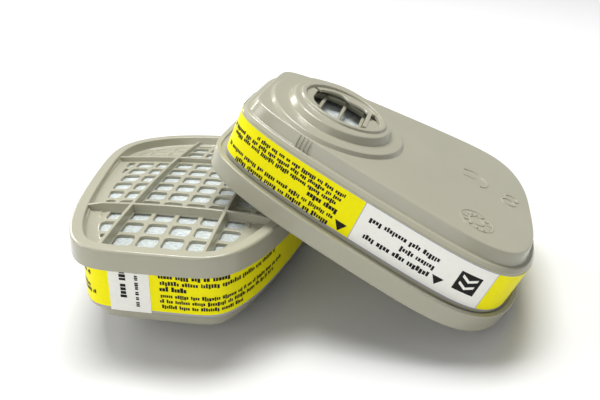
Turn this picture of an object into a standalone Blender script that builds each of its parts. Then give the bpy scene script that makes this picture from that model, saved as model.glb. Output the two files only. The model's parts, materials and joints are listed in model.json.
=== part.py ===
"""A pair of twist-on gas cartridges for a half-mask, one leaning on the other.

Each cartridge is modelled once, in millimetres, in its own frame:
  x runs from the collar's narrow end (-) to the wide end (+),
  z runs from the grille's rim plane (0) towards the collar,
  the cartridge is symmetrical about y = 0.
The lower cartridge lies collar down, and the upper one leans on its rim, grille down.
"""

import math

import bmesh
import bpy
import numpy as np
from mathutils import Matrix

MM = 0.001
CLEARANCE = 0.3             # gap between two pieces that touch on the real object
TAU = 2.0 * math.pi

# Outline of the rim, a superellipse whose width and squareness change along x.
HALF_LENGTH = 53.0
HALF_WIDTH = 38.9
WIDTH_SLOPE = 0.252
WIDTH_CURVE = -0.057
SQUARENESS = 4.0
SQUARENESS_SLOPE = -1.3
SEGMENTS = 40
DENSE = 960

# Grille cover: insets are distances inside the rim's outline.
SKIRT_INSET = -0.15
SKIRT_WALL = 1.6
SKIRT_HEIGHT = 6.8
GROOVE_FLOOR = 2.0
RECESS_WALL_OUTER = 3.2
RIM_WIDTH = 3.85
RECESS_FOOT = 4.75
SPIGOT_OUTER = 5.3
SPIGOT_INNER = 6.5
SPIGOT_END = 9.5
LEDGE_HEIGHT = 5.9
DOME_TOP = 0.3
DOME_CURVE = 0.00239
DOME_RING_SHARE = 0.45
FLOOR_THICKNESS = 1.0
CREST_TOP = -2.0
CREST_CENTRE_X = -7.0
RIB_THICKNESS = 1.3
RIB_END_INSET = 4.1
RIB_END_CREST = 1.1
CROSS_RIB_X = (-24.2, 21.2)
LONG_RIB_Y = 15.0
HOLE_PITCH_X = 7.25
HOLE_PITCH_Y = 7.5
HOLE_SIZE = 5.4
FIRST_ROW_X = -41.6
ROWS = 13
HALF_COLUMNS = 5
HOLE_MARGIN = 6.4
FAR_BAND_X = 22.0
FAR_BAND_HALF_WIDTH = 12.0

# Shell
WALL_INSET = 3.4
WALL = 1.6
LABEL_RECESS = 0.5
LABEL_LOW = 7.3
LABEL_HIGH = 20.7
SHOULDER_TOP = 22.1
PLATEAU_FOOT = 5.9
PLATEAU_INSET = 6.4
PLATEAU_TOP = 25.9
COLLAR_X = -21.8
LOW_TERRACE = (-23.9, 20.8, 24.3, 25.6, 27.1)     # centre x, radius to -x, to +x, to y, top
HIGH_TERRACE = (-23.4, 15.5, 18.6, 19.7, 29.4)
TERRACE_ROUNDNESS = 1.95
COLLAR_RADIUS = 14.6
COLLAR_BORE = 13.0
COLLAR_TOP = 30.1
LEDGE_TOP = 29.3
LUG_RADIUS = 9.8
LUG_COUNT = 3
LUG_FIRST_ANGLE = 75.0
LUG_SPAN = 72.0
LUG_UNDERSIDE = 27.9
POCKET_RADIUS = 15.0
POCKET_TOP = 27.3

# Paper label and sticker, as shares of the way round the outline from the wide end
PAPER = 0.25
LOT_FROM = 0.505
LOT_TO = 0.547
LOT_HIGH = 21.5

# Contents
FELT = 1.6
BED_TOP = 20.1
OUTLET_FELT_TOP = 25.3
GRID_LOW = 25.6
GRID_TOP = 26.6
GRID_BORE = 12.4
BAR_PITCH = 7.1
BAR_THICKNESS = 1.1

# How the two lie: heading of x, tilt of x below level, roll about x, in degrees, and place
LOWER_HEADING = 81.8
LOWER_ROLL = 181.8
LOWER_PLACE = (-36.6, 0.0)
UPPER_HEADING = -14.3
UPPER_TILT = 24.4
UPPER_ROLL = -2.4
UPPER_PLACE = (19.5, -8.3)

SHELL_COLOUR = (0.50, 0.47, 0.37)
FELT_COLOUR = (0.82, 0.86, 0.84)
CARBON_COLOUR = (0.02, 0.02, 0.02)
LABEL_COLOUR = (0.92, 0.80, 0.01)
STICKER_COLOUR = (0.85, 0.85, 0.82)


def outline(inset=0.0):
    """Points of the rim's outline moved inward by inset, evenly numbered by angle parameter."""
    angle = np.linspace(0.0, TAU, DENSE, endpoint=False)
    c, s = np.cos(angle), np.sin(angle)
    power = 2.0 / (SQUARENESS + SQUARENESS_SLOPE * c)
    x = HALF_LENGTH * np.sign(c) * np.abs(c) ** power
    u = x / HALF_LENGTH
    width = HALF_WIDTH * (1.0 + WIDTH_SLOPE * u + WIDTH_CURVE * u * u)
    y = width * np.sign(s) * np.abs(s) ** power
    points = np.stack([x, y], axis=1)
    points = even_spacing(points)
    along = np.roll(points, -1, axis=0) - np.roll(points, 1, axis=0)
    along /= np.linalg.norm(along, axis=1)[:, None]
    outward = np.stack([along[:, 1], -along[:, 0]], axis=1)
    return points - outward * inset


def even_spacing(points):
    """The same closed line with its points evenly spaced along it."""
    closed = np.vstack([points, points[:1]])
    steps = np.linalg.norm(np.diff(closed, axis=0), axis=1)
    run = np.concatenate([[0.0], np.cumsum(steps)])
    wanted = np.linspace(0.0, run[-1], len(points), endpoint=False)
    return np.stack([np.interp(wanted, run, closed[:, k]) for k in (0, 1)], axis=1)


def ray_angles():
    """Directions from the collar's centre to points spread over the rim's outline."""
    points = outline()[:: DENSE // SEGMENTS]
    return np.unwrap(np.arctan2(points[:, 1], points[:, 0] - COLLAR_X))


def on_rays(points):
    """Where the rays from the collar's centre meet a closed line around it."""
    direction = np.arctan2(points[:, 1], points[:, 0] - COLLAR_X)
    reach = np.hypot(points[:, 0] - COLLAR_X, points[:, 1])
    radius = np.interp(RAYS, direction[np.argsort(direction)], reach[np.argsort(direction)], period=TAU)
    return circle(radius)


def circle(radius):
    """A circle around the collar's axis; the radius may differ from ray to ray."""
    return np.stack([COLLAR_X + radius * np.cos(RAYS), radius * np.sin(RAYS)], axis=1)


def rim_ring(inset):
    return on_rays(outline(inset))


def terrace_ring(terrace, grow):
    """Egg-shaped edge of a terrace, made larger all round by grow."""
    centre, short, long, side, _ = terrace
    angle = np.linspace(0.0, TAU, DENSE, endpoint=False)
    c, s = np.cos(angle), np.sin(angle)
    power = 2.0 / TERRACE_ROUNDNESS
    reach = np.where(c < 0.0, short, long) + grow
    x = centre + reach * np.sign(c) * np.abs(c) ** power
    y = (side + grow) * np.sign(s) * np.abs(s) ** power
    return on_rays(np.stack([x, y], axis=1))


def socket_ring():
    """Edge of the socket's opening, narrower at the bayonet lugs."""
    step = 360.0 / LUG_COUNT
    from_lug = (np.degrees(RAYS) - LUG_FIRST_ANGLE + step / 2.0) % step - step / 2.0
    at_lug = np.abs(from_lug) < LUG_SPAN / 2.0
    return circle(np.where(at_lug, LUG_RADIUS, COLLAR_BORE - 0.4))


RAYS = ray_angles()


def dome(points):
    """Height of the grille floor's outer face, lowest in the middle."""
    return DOME_TOP + DOME_CURVE * (points[:, 0] ** 2 + points[:, 1] ** 2) / 2.0


def crest_height(point):
    """Height of a rib's crest: a dome of its own, farthest out a little towards the narrow end."""
    return CREST_TOP + DOME_CURVE * ((point[0] - CREST_CENTRE_X) ** 2 + point[1] ** 2) / 2.0


def layer(points, height):
    """A ring of 3-D points; the height may be one number or one for each point."""
    return np.column_stack([points, np.broadcast_to(height, len(points))])


def new_mesh(name, vertices, faces):
    """A mesh in metres with its faces pointing out."""
    bm = bmesh.new()
    verts = [bm.verts.new([float(value) * MM for value in point]) for point in vertices]
    for face in faces:
        bm.faces.new([verts[index] for index in face])
    bmesh.ops.recalc_face_normals(bm, faces=bm.faces)
    mesh = bpy.data.meshes.new(name)
    bm.to_mesh(mesh)
    bm.free()
    return mesh


def loft(name, layers, capped=True):
    """Join rings of the same count, and close the two ends with caps or with each other."""
    count = len(layers[0])
    rows = len(layers)
    vertices = np.vstack(layers)
    faces = []
    for row in range(rows - 1 if capped else rows):
        low, high = row * count, (row + 1) % rows * count
        for k in range(count):
            n = (k + 1) % count
            faces.append((low + k, low + n, high + n, high + k))
    if capped:
        faces.append(tuple(range(count)))
        faces.append(tuple(range((rows - 1) * count, rows * count)))
    return new_mesh(name, vertices, faces)


def boolean(base, operand, operation):
    """The mesh of one closed mesh joined with, cut by, or limited to another."""
    first = bpy.data.objects.new("first", base)
    second = bpy.data.objects.new("second", operand)
    for item in (first, second):
        bpy.context.scene.collection.objects.link(item)
    modifier = first.modifiers.new("boolean", "BOOLEAN")
    modifier.operation = operation
    modifier.solver = "EXACT"
    modifier.object = second
    graph = bpy.context.evaluated_depsgraph_get()
    result = bpy.data.meshes.new_from_object(first.evaluated_get(graph))
    for item in (first, second):
        bpy.data.objects.remove(item)
    return result


def shell_mesh():
    """One turned-back skin: outer wall, plateau, terraces, collar, socket, then the inside."""
    wall = rim_ring(WALL_INSET)
    label_wall = rim_ring(WALL_INSET + LABEL_RECESS)
    inner_wall = rim_ring(WALL_INSET + LABEL_RECESS + WALL - 0.3)
    low_top, high_top = LOW_TERRACE[-1], HIGH_TERRACE[-1]
    bottom = LEDGE_HEIGHT + CLEARANCE
    socket = socket_ring()
    bore = circle(COLLAR_BORE - 0.3)
    layers = [
        layer(wall, bottom),
        layer(wall, LABEL_LOW - 0.3),
        layer(label_wall, LABEL_LOW - 0.3),
        layer(label_wall, LABEL_HIGH + 0.3),
        layer(wall, LABEL_HIGH + 0.3),
        layer(rim_ring(WALL_INSET + 0.4), SHOULDER_TOP - 0.3),
        layer(rim_ring(WALL_INSET + 1.2), SHOULDER_TOP),
        layer(rim_ring(PLATEAU_FOOT), SHOULDER_TOP),
        layer(rim_ring(PLATEAU_INSET), PLATEAU_TOP - 0.8),
        layer(rim_ring(PLATEAU_INSET + 0.8), PLATEAU_TOP),
        layer(terrace_ring(LOW_TERRACE, 0.4), PLATEAU_TOP),
        layer(terrace_ring(LOW_TERRACE, -0.4), low_top),
        layer(terrace_ring(HIGH_TERRACE, 0.5), low_top),
        layer(terrace_ring(HIGH_TERRACE, -0.5), high_top),
        layer(circle(COLLAR_RADIUS), high_top),
        layer(circle(COLLAR_RADIUS), COLLAR_TOP - 0.2),
        layer(circle(COLLAR_RADIUS - 0.3), COLLAR_TOP),
        layer(circle(COLLAR_BORE), COLLAR_TOP),
        layer(circle(COLLAR_BORE), LEDGE_TOP),
        layer(socket, LEDGE_TOP),
        layer(socket, LUG_UNDERSIDE),
        layer(bore, LUG_UNDERSIDE),
        layer(bore, POCKET_TOP),
        layer(circle(POCKET_RADIUS), POCKET_TOP),
        layer(circle(POCKET_RADIUS), PLATEAU_TOP - WALL),
        layer(rim_ring(PLATEAU_INSET + WALL), PLATEAU_TOP - WALL),
        layer(rim_ring(PLATEAU_INSET + WALL - 0.3), SHOULDER_TOP - WALL),
        layer(inner_wall, SHOULDER_TOP - WALL),
        layer(inner_wall, bottom),
    ]
    return loft("shell", layers, capped=False)


def cover_frame_mesh():
    """The cover without its floor: skirt, rim, recess wall and the spigot inside the shell."""
    foot = rim_ring(RECESS_FOOT)
    spigot = rim_ring(SPIGOT_INNER)
    skirt_inner = rim_ring(SKIRT_INSET + SKIRT_WALL)
    mid_floor = FLOOR_THICKNESS / 2.0
    layers = [
        layer(rim_ring(SKIRT_INSET), SKIRT_HEIGHT - 0.5),
        layer(rim_ring(0.0), 1.2),
        layer(rim_ring(1.1), 0.0),
        layer(rim_ring(RIM_WIDTH - 0.5), 0.0),
        layer(rim_ring(RIM_WIDTH), 0.6),
        layer(foot, dome(foot) + mid_floor),
        layer(spigot, dome(spigot) + mid_floor),
        layer(spigot, SPIGOT_END),
        layer(rim_ring(SPIGOT_OUTER), SPIGOT_END),
        layer(rim_ring(SPIGOT_OUTER), LEDGE_HEIGHT),
        layer(rim_ring(RECESS_WALL_OUTER), LEDGE_HEIGHT),
        layer(rim_ring(RECESS_WALL_OUTER - 0.2), GROOVE_FLOOR),
        layer(skirt_inner, GROOVE_FLOOR),
        layer(skirt_inner, SKIRT_HEIGHT),
        layer(rim_ring(SKIRT_INSET + 0.5), SKIRT_HEIGHT),
    ]
    return loft("cover_frame", layers, capped=False)


def floor_lines():
    """Grid lines of the floor, two for each row or column of holes."""
    half = HOLE_SIZE / 2.0
    rows = [FIRST_ROW_X + HOLE_PITCH_X * k for k in range(ROWS)]
    columns = [HOLE_PITCH_Y * (k - HALF_COLUMNS + 0.5) for k in range(2 * HALF_COLUMNS)]
    x = [-HALF_LENGTH] + [row + side for row in rows for side in (-half, half)] + [HALF_LENGTH]
    y = [-HALF_LENGTH] + [column + side for column in columns for side in (-half, half)] + [HALF_LENGTH]
    return x, y


def inside_margin(x, y, margin_ring):
    """Whether a point lies inside the line that the holes keep within."""
    direction = math.atan2(y, x - COLLAR_X)
    reach = np.hypot(margin_ring[:, 0] - COLLAR_X, margin_ring[:, 1])
    angles = np.arctan2(margin_ring[:, 1], margin_ring[:, 0] - COLLAR_X)
    order = np.argsort(angles)
    limit = np.interp(direction, angles[order], reach[order], period=TAU)
    return math.hypot(x - COLLAR_X, y) < limit


def floor_mesh():
    """The domed floor plate: a lattice with a hole wherever a whole cell is inside the recess."""
    lines_x, lines_y = floor_lines()
    half = HOLE_SIZE / 2.0
    margin = outline(HOLE_MARGIN)
    grid = np.array([(x, y) for x in lines_x for y in lines_y])
    outer = layer(grid, dome(grid))
    inner = layer(grid, dome(grid) + FLOOR_THICKNESS)
    shift = len(grid)
    across = len(lines_y)
    open_cells = set()
    for i in range(1, len(lines_x) - 1, 2):
        for j in range(1, len(lines_y) - 1, 2):
            corners = [(lines_x[i + a], lines_y[j + b]) for a in (0, 1) for b in (0, 1)]
            far_side = lines_x[i] > FAR_BAND_X and abs(lines_y[j] + half) > FAR_BAND_HALF_WIDTH
            if not far_side and all(inside_margin(x, y, margin) for x, y in corners):
                open_cells.add((i, j))

    def is_open(i, j):
        outside = not (0 <= i < len(lines_x) - 1 and 0 <= j < across - 1)
        return outside or (i, j) in open_cells

    faces = []
    for i in range(len(lines_x) - 1):
        for j in range(across - 1):
            if (i, j) in open_cells:
                continue
            a, b = i * across + j, (i + 1) * across + j
            faces.append((a, a + 1, b + 1, b))
            faces.append((a + shift, b + shift, b + 1 + shift, a + 1 + shift))
            sides = (((i, j - 1), a, b), ((i, j + 1), a + 1, b + 1), ((i - 1, j), a, a + 1), ((i + 1, j), b, b + 1))
            for (next_i, next_j), start, end in sides:
                if is_open(next_i, next_j):
                    faces.append((start, end, end + shift, start + shift))
    plate = new_mesh("floor", np.vstack([outer, inner]), faces)
    clip_ring = rim_ring(RECESS_FOOT - 0.45)
    clip = loft("clip", [layer(clip_ring, -5.0), layer(clip_ring, 12.0)])
    return boolean(plate, clip, "INTERSECT")


def rib_mesh(start, end):
    """One rib from start to end, its crest following the dome and falling to the rim at its ends."""
    stations = 13
    start, end = np.array(start), np.array(end)
    length = float(np.linalg.norm(end - start))
    side = np.array([-(end - start)[1], (end - start)[0]]) / length * RIB_THICKNESS / 2.0
    sections = []
    for k in range(stations):
        share = k / (stations - 1)
        middle = start + (end - start) * share
        floor = float(dome(middle[None])[0])
        from_end = length * min(share, 1.0 - share)
        crest = max(crest_height(middle), RIB_END_CREST - 0.5 * from_end)
        left, right = middle + side, middle - side
        foot = floor + FLOOR_THICKNESS / 2.0
        sections.append(np.array([(*left, foot), (*right, foot), (*right, crest), (*left, crest)]))
    return loft("rib", sections)


def rib_ends_x(y):
    """Where a long rib at y meets the recess wall."""
    edge = outline(RIB_END_INSET)
    near = edge[np.abs(edge[:, 1] - y) < 0.6]
    return near[:, 0].min(), near[:, 0].max()


def rib_end_y(x):
    """Half the length of a cross rib at x."""
    edge = outline(RIB_END_INSET)
    return edge[np.abs(edge[:, 0] - x) < 0.6][:, 1].max()


def cover_mesh():
    """Frame, floor and ribs joined into one moulding."""
    mesh = boolean(cover_frame_mesh(), floor_mesh(), "UNION")
    for x in CROSS_RIB_X:
        reach = rib_end_y(x)
        mesh = boolean(mesh, rib_mesh((x, -reach), (x, reach)), "UNION")
    for y in (-LONG_RIB_Y, LONG_RIB_Y):
        low, high = rib_ends_x(y)
        mesh = boolean(mesh, rib_mesh((low, y), (high, y)), "UNION")
    return mesh


def label_mesh():
    """A closed paper band in the shell's shallow recess."""
    inner = rim_ring(WALL_INSET + LABEL_RECESS - CLEARANCE)
    outer = rim_ring(WALL_INSET + LABEL_RECESS - CLEARANCE - PAPER)
    layers = [layer(outer, LABEL_LOW), layer(outer, LABEL_HIGH), layer(inner, LABEL_HIGH), layer(inner, LABEL_LOW)]
    return loft("label_band", layers, capped=False)


def sticker_mesh():
    """A short paper strip over the band at the collar's end."""
    inset = WALL_INSET + LABEL_RECESS - 2.0 * CLEARANCE - PAPER
    picks = np.linspace(LOT_FROM, LOT_TO, 7) * DENSE
    inner = outline(inset)[picks.astype(int)]
    outer = outline(inset - PAPER)[picks.astype(int)]
    strip = np.vstack([inner, outer[::-1]])
    return loft("lot_sticker", [layer(strip, LABEL_LOW), layer(strip, LOT_HIGH)])


def domed_pad(name, inset, low, high, follows_floor):
    """A pad that starts low behind the domed floor and ends high behind it, or at height high."""
    edge = rim_ring(inset)
    centre = np.array([COLLAR_X, 0.0])
    inner = centre + (edge - centre) * DOME_RING_SHARE
    layers = [layer(inner, dome(inner) + low), layer(edge, dome(edge) + low)]
    if follows_floor:
        layers += [layer(edge, dome(edge) + high), layer(inner, dome(inner) + high)]
    else:
        layers.append(layer(edge, high))
    return loft(name, layers)


def inlet_felt_mesh():
    low = FLOOR_THICKNESS + CLEARANCE
    return domed_pad("inlet_felt", SPIGOT_INNER + CLEARANCE, low, low + FELT, True)


def carbon_mesh():
    low = FLOOR_THICKNESS + 2.0 * CLEARANCE + FELT
    return domed_pad("carbon_bed", SPIGOT_INNER + CLEARANCE, low, BED_TOP, False)


def outlet_felt_mesh():
    """A pad over the whole bed with a round step that fills the pocket under the collar."""
    body = rim_ring(PLATEAU_INSET + WALL + CLEARANCE)
    ceiling = PLATEAU_TOP - WALL - CLEARANCE
    step = circle(POCKET_RADIUS - CLEARANCE)
    layers = [layer(body, BED_TOP + CLEARANCE), layer(body, ceiling), layer(step, ceiling)]
    return loft("outlet_felt", layers + [layer(step, OUTLET_FELT_TOP)])


def grid_mesh():
    """A flat ring with three bars across it, under the socket."""
    outer = circle(POCKET_RADIUS - CLEARANCE)
    inner = circle(GRID_BORE)
    layers = [layer(outer, GRID_LOW), layer(outer, GRID_TOP), layer(inner, GRID_TOP), layer(inner, GRID_LOW)]
    mesh = loft("grid", layers, capped=False)
    for k in (-1, 0, 1):
        x = COLLAR_X + k * BAR_PITCH
        reach = math.sqrt((GRID_BORE + 1.0) ** 2 - (k * BAR_PITCH) ** 2)
        half = BAR_THICKNESS / 2.0
        corners = np.array([(x - half, -reach), (x + half, -reach), (x + half, reach), (x - half, reach)])
        bar = loft("bar", [layer(corners, GRID_LOW + 0.1), layer(corners, GRID_TOP - 0.1)])
        mesh = boolean(mesh, bar, "UNION")
    return mesh


def new_material(name, colour, roughness):
    material = bpy.data.materials.new(name)
    material.use_nodes = True
    shader = material.node_tree.nodes["Principled BSDF"]
    shader.inputs["Base Color"].default_value = (*colour, 1.0)
    shader.inputs["Roughness"].default_value = roughness
    return material


def piece_designs():
    """Each piece's name with its mesh, colour and roughness."""
    return {
        "shell": (shell_mesh(), SHELL_COLOUR, 0.35),
        "grille_cover": (cover_mesh(), SHELL_COLOUR, 0.35),
        "label_band": (label_mesh(), LABEL_COLOUR, 0.5),
        "lot_sticker": (sticker_mesh(), STICKER_COLOUR, 0.5),
        "inlet_felt": (inlet_felt_mesh(), FELT_COLOUR, 0.9),
        "carbon_bed": (carbon_mesh(), CARBON_COLOUR, 0.9),
        "outlet_felt": (outlet_felt_mesh(), FELT_COLOUR, 0.9),
        "support_grid": (grid_mesh(), SHELL_COLOUR, 0.4),
    }


def add_cartridge(prefix, designs, matrix):
    """Place one object for each piece under an empty that carries the cartridge's pose."""
    carrier = bpy.data.objects.new(prefix, None)
    bpy.context.scene.collection.objects.link(carrier)
    carrier.matrix_world = matrix
    for name, (mesh, colour, roughness) in designs.items():
        piece = bpy.data.objects.new(prefix + "_" + name, mesh.copy())
        piece.data.materials.clear()
        piece.data.materials.append(new_material(prefix + "_" + name, colour, roughness))
        piece.data.shade_smooth()
        piece.data.set_sharp_from_angle(angle=math.radians(35.0))
        bpy.context.scene.collection.objects.link(piece)
        piece.parent = carrier
    return carrier


def pose(heading, tilt, roll, place):
    """Turn about x by roll, lower the +x end by tilt, then point x along heading."""
    turn = Matrix.Rotation(math.radians(heading), 4, "Z") @ Matrix.Rotation(math.radians(tilt), 4, "Y")
    turn = turn @ Matrix.Rotation(math.radians(roll), 4, "X")
    return Matrix.Translation((place[0] * MM, place[1] * MM, 0.0)) @ turn


def world_points(carrier):
    bpy.context.view_layer.update()
    return [child.matrix_world @ vertex.co for child in carrier.children for vertex in child.data.vertices]


def stand_on_surface(carrier):
    """Raise or lower a cartridge until its lowest point is at height 0."""
    carrier.location.z -= min(point.z for point in world_points(carrier))


def lower_tilt():
    """The lower cartridge rests on its collar's edge and on the plateau's wide end."""
    wide_end = rim_ring(PLATEAU_INSET + 0.4)[:, 0].max()
    collar_edge = COLLAR_X + COLLAR_RADIUS - 0.3
    return math.degrees(math.atan2(COLLAR_TOP - PLATEAU_TOP, wide_end - collar_edge))


def centre_over_origin(carriers):
    """Move the pair so that the middle of its footprint is over the origin."""
    points = [point for carrier in carriers for point in world_points(carrier)]
    for axis in (0, 1):
        middle = (min(point[axis] for point in points) + max(point[axis] for point in points)) / 2.0
        for carrier in carriers:
            carrier.location[axis] -= middle


def main():
    for item in list(bpy.data.objects):
        bpy.data.objects.remove(item)
    designs = piece_designs()
    lower = add_cartridge("lower", designs, pose(LOWER_HEADING, lower_tilt(), LOWER_ROLL, LOWER_PLACE))
    upper = add_cartridge("upper", designs, pose(UPPER_HEADING, UPPER_TILT, UPPER_ROLL, UPPER_PLACE))
    for carrier in (lower, upper):
        stand_on_surface(carrier)
    centre_over_origin((lower, upper))
    bpy.context.view_layer.update()


main()
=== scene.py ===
"""Looks for the pair of gas cartridges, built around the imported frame.

Shapes are in millimetres in each cartridge's own frame, as in the CAD: x runs from the collar's end (-)
to the wide end (+), and z runs from the rim plane (0) towards the collar. Both cartridges share them.
"""

import json
import math
import random

import bmesh
import bpy
import numpy as np
from mathutils import Matrix, Vector, noise


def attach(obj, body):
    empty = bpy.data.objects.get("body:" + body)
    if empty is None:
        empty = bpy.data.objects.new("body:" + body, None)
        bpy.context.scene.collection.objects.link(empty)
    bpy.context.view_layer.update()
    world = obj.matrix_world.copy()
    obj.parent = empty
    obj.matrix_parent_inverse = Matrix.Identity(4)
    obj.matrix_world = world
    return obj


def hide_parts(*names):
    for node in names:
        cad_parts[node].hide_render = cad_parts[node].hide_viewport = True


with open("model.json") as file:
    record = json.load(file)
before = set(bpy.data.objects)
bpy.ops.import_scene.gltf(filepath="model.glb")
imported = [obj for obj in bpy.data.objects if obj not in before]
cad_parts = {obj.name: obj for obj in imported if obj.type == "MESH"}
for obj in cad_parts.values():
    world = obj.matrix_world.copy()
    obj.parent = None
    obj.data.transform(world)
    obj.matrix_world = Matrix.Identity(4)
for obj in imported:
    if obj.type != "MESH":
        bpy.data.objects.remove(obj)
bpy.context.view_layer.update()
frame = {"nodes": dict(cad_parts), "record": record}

MM = 0.001
TAU = 2.0 * math.pi

# Outline of the rim; the shell inside it has squarer corners.
HALF_LENGTH = 53.0
HALF_WIDTH = 38.9
WIDTH_SLOPE = 0.252
WIDTH_CURVE = -0.057
SQUARENESS = 4.0
SQUARENESS_SLOPE = -1.3
SHELL_SQUARER = 0.43
DENSE = 2880
SEGMENTS = 480

# Grille cover
RIM_WIDTH = 3.85
RECESS_FOOT = 4.75
SKIRT_HEIGHT = 6.5
GROOVE_FLOOR = 5.85
LEDGE_HEIGHT = 5.9
DOME_TOP = 0.3
DOME_CURVE = 0.00239
FLOOR_THICKNESS = 1.0
CREST_TOP = -2.0
CREST_CENTRE_X = -7.0
CROSS_RIB_X = (-24.2, 21.2)
LONG_RIB_Y = 15.0
HOLE_PITCH = (7.25, 7.5)
HOLE_HALF = (2.9, 3.02)
HOLE_CORNER = 1.35
FIRST_ROW_X = -48.85
ROWS = 15
HALF_COLUMNS = 6
HOLE_MARGIN = 8.4
HOLE_BLEND = 0.9            # how far a hole's edge is rounded off where the margin cuts it
PRINT_DEPTH = 0.22          # a hole that doesn't go through is a shallow print
SMALLEST_HOLE = 5.0         # areas, in square millimetres
SMALLEST_PRINT = 1.2
CELL_STEPS = 24             # samples across a cell when its hole is measured
FAR_BAND_X = 22.0
FAR_BAND_HALF_WIDTH = 12.0

# Shell
WALL_INSET = 3.42
SHOULDER_TOP = 22.1
SHELL_FOOT = 5.93
PLATEAU_FOOT = 5.5
PLATEAU_INSET = 6.6
PLATEAU_TOP = 25.9
COLLAR_X = -21.8
LOW_TERRACE = (-23.9, 20.8, 24.3, 25.6)      # centre x, radius to -x, to +x, to y
HIGH_TERRACE = (-23.4, 15.5, 18.6, 19.7)
TERRACE_ROUNDNESS = 1.95
LOW_TOP = 27.1
HIGH_TOP = 29.4
COLLAR_TOP = 30.1
LEDGE_TOP = 29.3
BORE_FOOT = 28.3
LUG_RADIUS = 12.9
POCKET_RADIUS = 15.0
POCKET_LOW = 24.3
BED_ROOM_TOP = 20.5

# Label, measured along the wall from the wide end's middle, and from the rim plane
LABEL_LENGTH = 296.2
LABEL_INSET = 3.33
LABEL_LOW = 7.15
LABEL_HIGH = 20.6
LABEL_STEP = 0.6

# Contents
FELT_BEHIND_FLOOR = 0.85
FELT_THICKNESS = 1.6
OUTLET_FELT_TOP = 23.8
GRID_TOP = 26.6
GRID_THICKNESS = 0.9
BAR_PITCH = 7.1

# Pose of each cartridge: heading of x, tilt of x below level, and roll about x, in degrees
POSES = {"lower": (81.8, 4.4721, 181.8), "upper": (-14.3, 24.4, -2.4)}
RIM_MOUNT = (50.8, 1.0, 0.0)


# ---------------------------------------------------------------- lines and rings

def even_spacing(points):
    """The same closed line with its points evenly spaced along it."""
    closed = np.vstack([points, points[:1]])
    steps = np.linalg.norm(np.diff(closed, axis=0), axis=1)
    run = np.concatenate([[0.0], np.cumsum(steps)])
    wanted = np.linspace(0.0, run[-1], len(points), endpoint=False)
    return np.stack([np.interp(wanted, run, closed[:, k]) for k in (0, 1)], axis=1)


def outline(inset=0.0, squarer=0.0):
    """Points of the rim's outline moved inward by inset."""
    angle = np.linspace(0.0, TAU, DENSE, endpoint=False)
    c, s = np.cos(angle), np.sin(angle)
    power = 2.0 / (SQUARENESS + squarer + SQUARENESS_SLOPE * c)
    x = HALF_LENGTH * np.sign(c) * np.abs(c) ** power
    u = x / HALF_LENGTH
    width = HALF_WIDTH * (1.0 + WIDTH_SLOPE * u + WIDTH_CURVE * u * u)
    points = even_spacing(np.stack([x, width * np.sign(s) * np.abs(s) ** power], axis=1))
    along = np.roll(points, -1, axis=0) - np.roll(points, 1, axis=0)
    along /= np.linalg.norm(along, axis=1)[:, None]
    return points - np.stack([along[:, 1], -along[:, 0]], axis=1) * inset


def on_rays(points):
    """Where the rays from the collar's centre meet a closed line around it."""
    direction = np.arctan2(points[:, 1], points[:, 0] - COLLAR_X)
    reach = np.hypot(points[:, 0] - COLLAR_X, points[:, 1])
    order = np.argsort(direction)
    return circle(np.interp(RAYS, direction[order], reach[order], period=TAU))


def circle(radius):
    """A circle around the collar's axis."""
    return np.stack([COLLAR_X + radius * np.cos(RAYS), radius * np.sin(RAYS)], axis=1)


def egg(terrace, grow):
    """Egg-shaped edge of a terrace, made larger all round by grow."""
    centre, short, long, side = terrace
    angle = np.linspace(0.0, TAU, DENSE, endpoint=False)
    c, s = np.cos(angle), np.sin(angle)
    power = 2.0 / TERRACE_ROUNDNESS
    reach = np.where(c < 0.0, short, long) + grow
    x = centre + reach * np.sign(c) * np.abs(c) ** power
    y = (side + grow) * np.sign(s) * np.abs(s) ** power
    return on_rays(np.stack([x, y], axis=1))


def ray_angles():
    """Directions of the rays from the collar's centre, evenly spread along the outline."""
    points = outline()[:: DENSE // SEGMENTS]
    return np.unwrap(np.arctan2(points[:, 1], points[:, 0] - COLLAR_X))


RAYS = ray_angles()


def dome(points):
    """Height of the grille floor's outer face, lowest in the middle."""
    return DOME_TOP + DOME_CURVE * (points[..., 0] ** 2 + points[..., 1] ** 2) / 2.0


def crest_height(point):
    """Height of a rib's crest: a dome of its own, farthest out a little towards the narrow end."""
    return CREST_TOP + DOME_CURVE * ((point[0] - CREST_CENTRE_X) ** 2 + point[1] ** 2) / 2.0


def layer(points, height):
    """2-D points lifted to a height, or to one height each."""
    return np.column_stack([points, np.broadcast_to(height, len(points))])


def rounded(corners, steps=6):
    """A path through (offset, height, radius) corners with each corner rounded by its radius."""
    path = [np.array(corners[0][:2])]
    for before, corner, after in zip(corners, corners[1:], corners[2:]):
        here = np.array(corner[:2])
        back, ahead = np.array(before[:2]) - here, np.array(after[:2]) - here
        lengths = np.linalg.norm(back), np.linalg.norm(ahead)
        back, ahead = back / lengths[0], ahead / lengths[1]
        half = math.acos(max(-1.0, min(1.0, float(back @ ahead)))) / 2.0
        reach = min(corner[2] / max(math.tan(half), 1e-3), 0.48 * min(lengths))
        start, end = here + back * reach, here + ahead * reach
        for k in range(steps + 1):
            t = k / steps
            path.append(start * (1 - t) ** 2 + here * 2 * t * (1 - t) + end * t * t)
    path.append(np.array(corners[-1][:2]))
    return path


# ---------------------------------------------------------------- meshes

def strip(layers, closed=False, flip=False):
    """Vertices and quads that join rings of the same count."""
    count, rows = len(layers[0]), len(layers)
    faces = []
    for row in range(rows if closed else rows - 1):
        low, high = row * count, (row + 1) % rows * count
        for k in range(count):
            n = (k + 1) % count
            face = (low + k, low + n, high + n, high + k)
            faces.append(face[::-1] if flip else face)
    return np.vstack(layers), faces


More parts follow.
